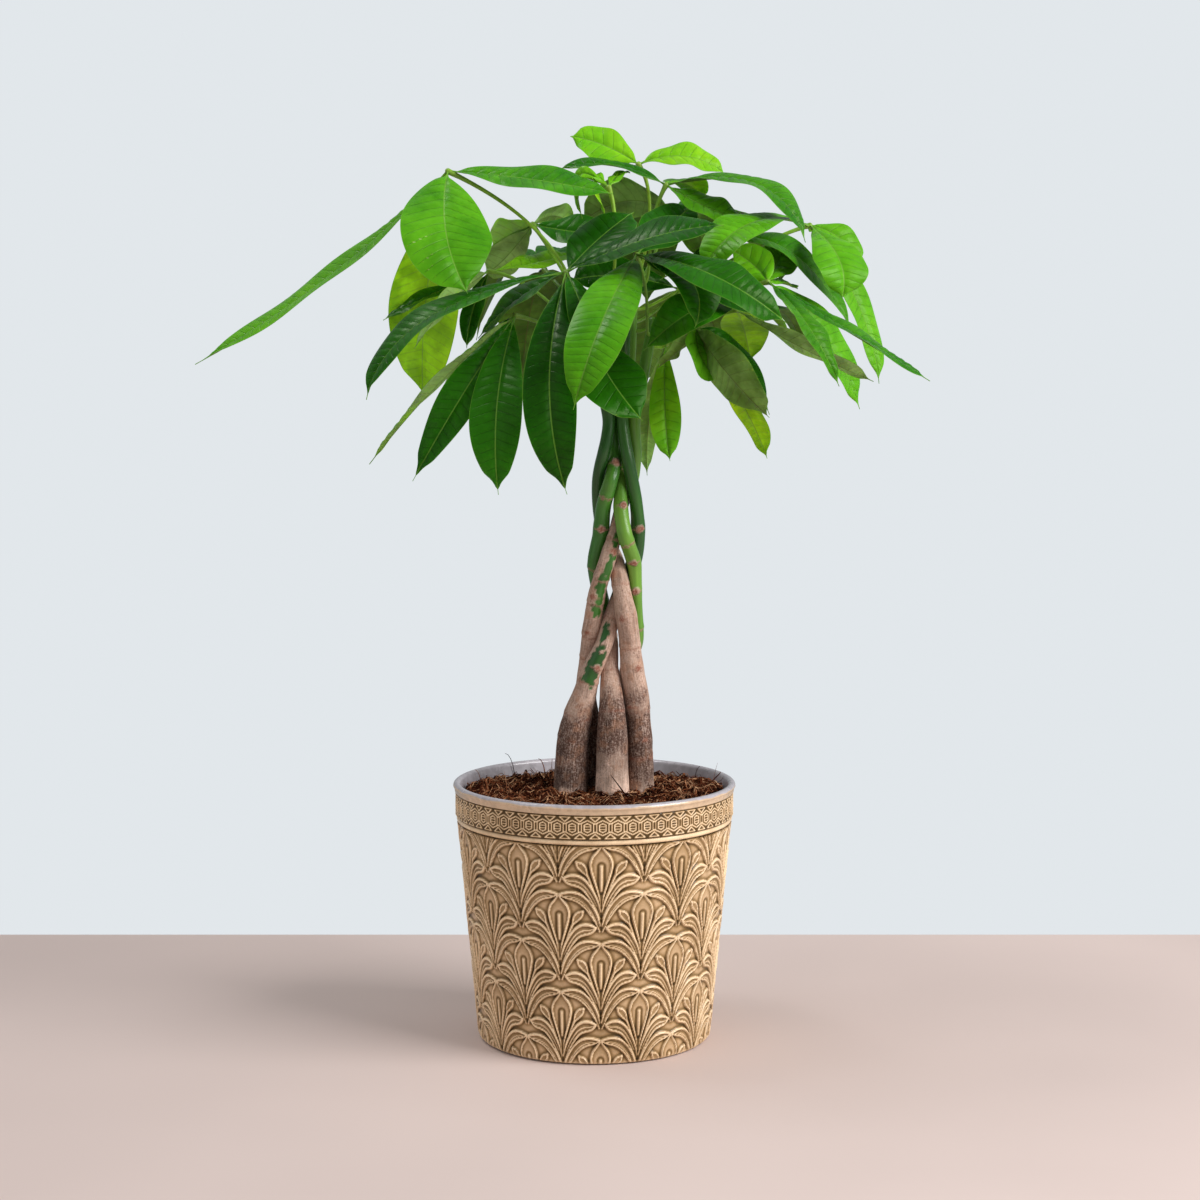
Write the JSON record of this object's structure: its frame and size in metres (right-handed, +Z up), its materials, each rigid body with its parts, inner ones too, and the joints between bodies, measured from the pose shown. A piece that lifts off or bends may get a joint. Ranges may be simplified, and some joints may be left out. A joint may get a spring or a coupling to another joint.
{
  "type": "potted money tree",
  "caption": "Money tree with a braided trunk and long-stalked hand-shaped leaves, growing in fibrous soil in a tapered glazed pot with a raised palmette pattern and a geometric band.",
  "frame": {"origin": "centre of the pot's flat underside, on the pot's axis", "axes": "+Z up along the pot's axis, -Y towards the side that the picture shows, +X to that view's right"},
  "size_m": [0.4478, 0.2906, 0.5804],
  "materials": {
    "glaze": "glossy olive-tan glaze, pooled darker in the relief",
    "soil": null,
    "bark": "grey-brown fibrous bark below, smooth green skin above",
    "leaf": "glossy green blades with a pale rib; leather stands in for their weight"
  },
  "bodies": {
    "root": {"pot": "glaze", "soil": "soil", "stem_1": "bark", "stem_2": "bark", "stem_3": "bark", "stem_4": "bark", "stem_5": "bark", "leaf_a": "leaf", "leaf_b": "leaf", "leaf_c": "leaf", "leaf_d": "leaf", "leaf_e": "leaf", "leaf_f": "leaf", "leaf_g": "leaf", "leaf_h": "leaf", "leaf_i": "leaf", "leaf_j": "leaf", "leaf_k": "leaf", "leaf_l": "leaf", "leaf_m": "leaf", "leaf_n": "leaf", "leaf_o": "leaf", "leaf_p": "leaf", "leaf_q": "leaf", "leaf_r": "leaf", "leaf_s": "leaf"}
  },
  "joints": []
}
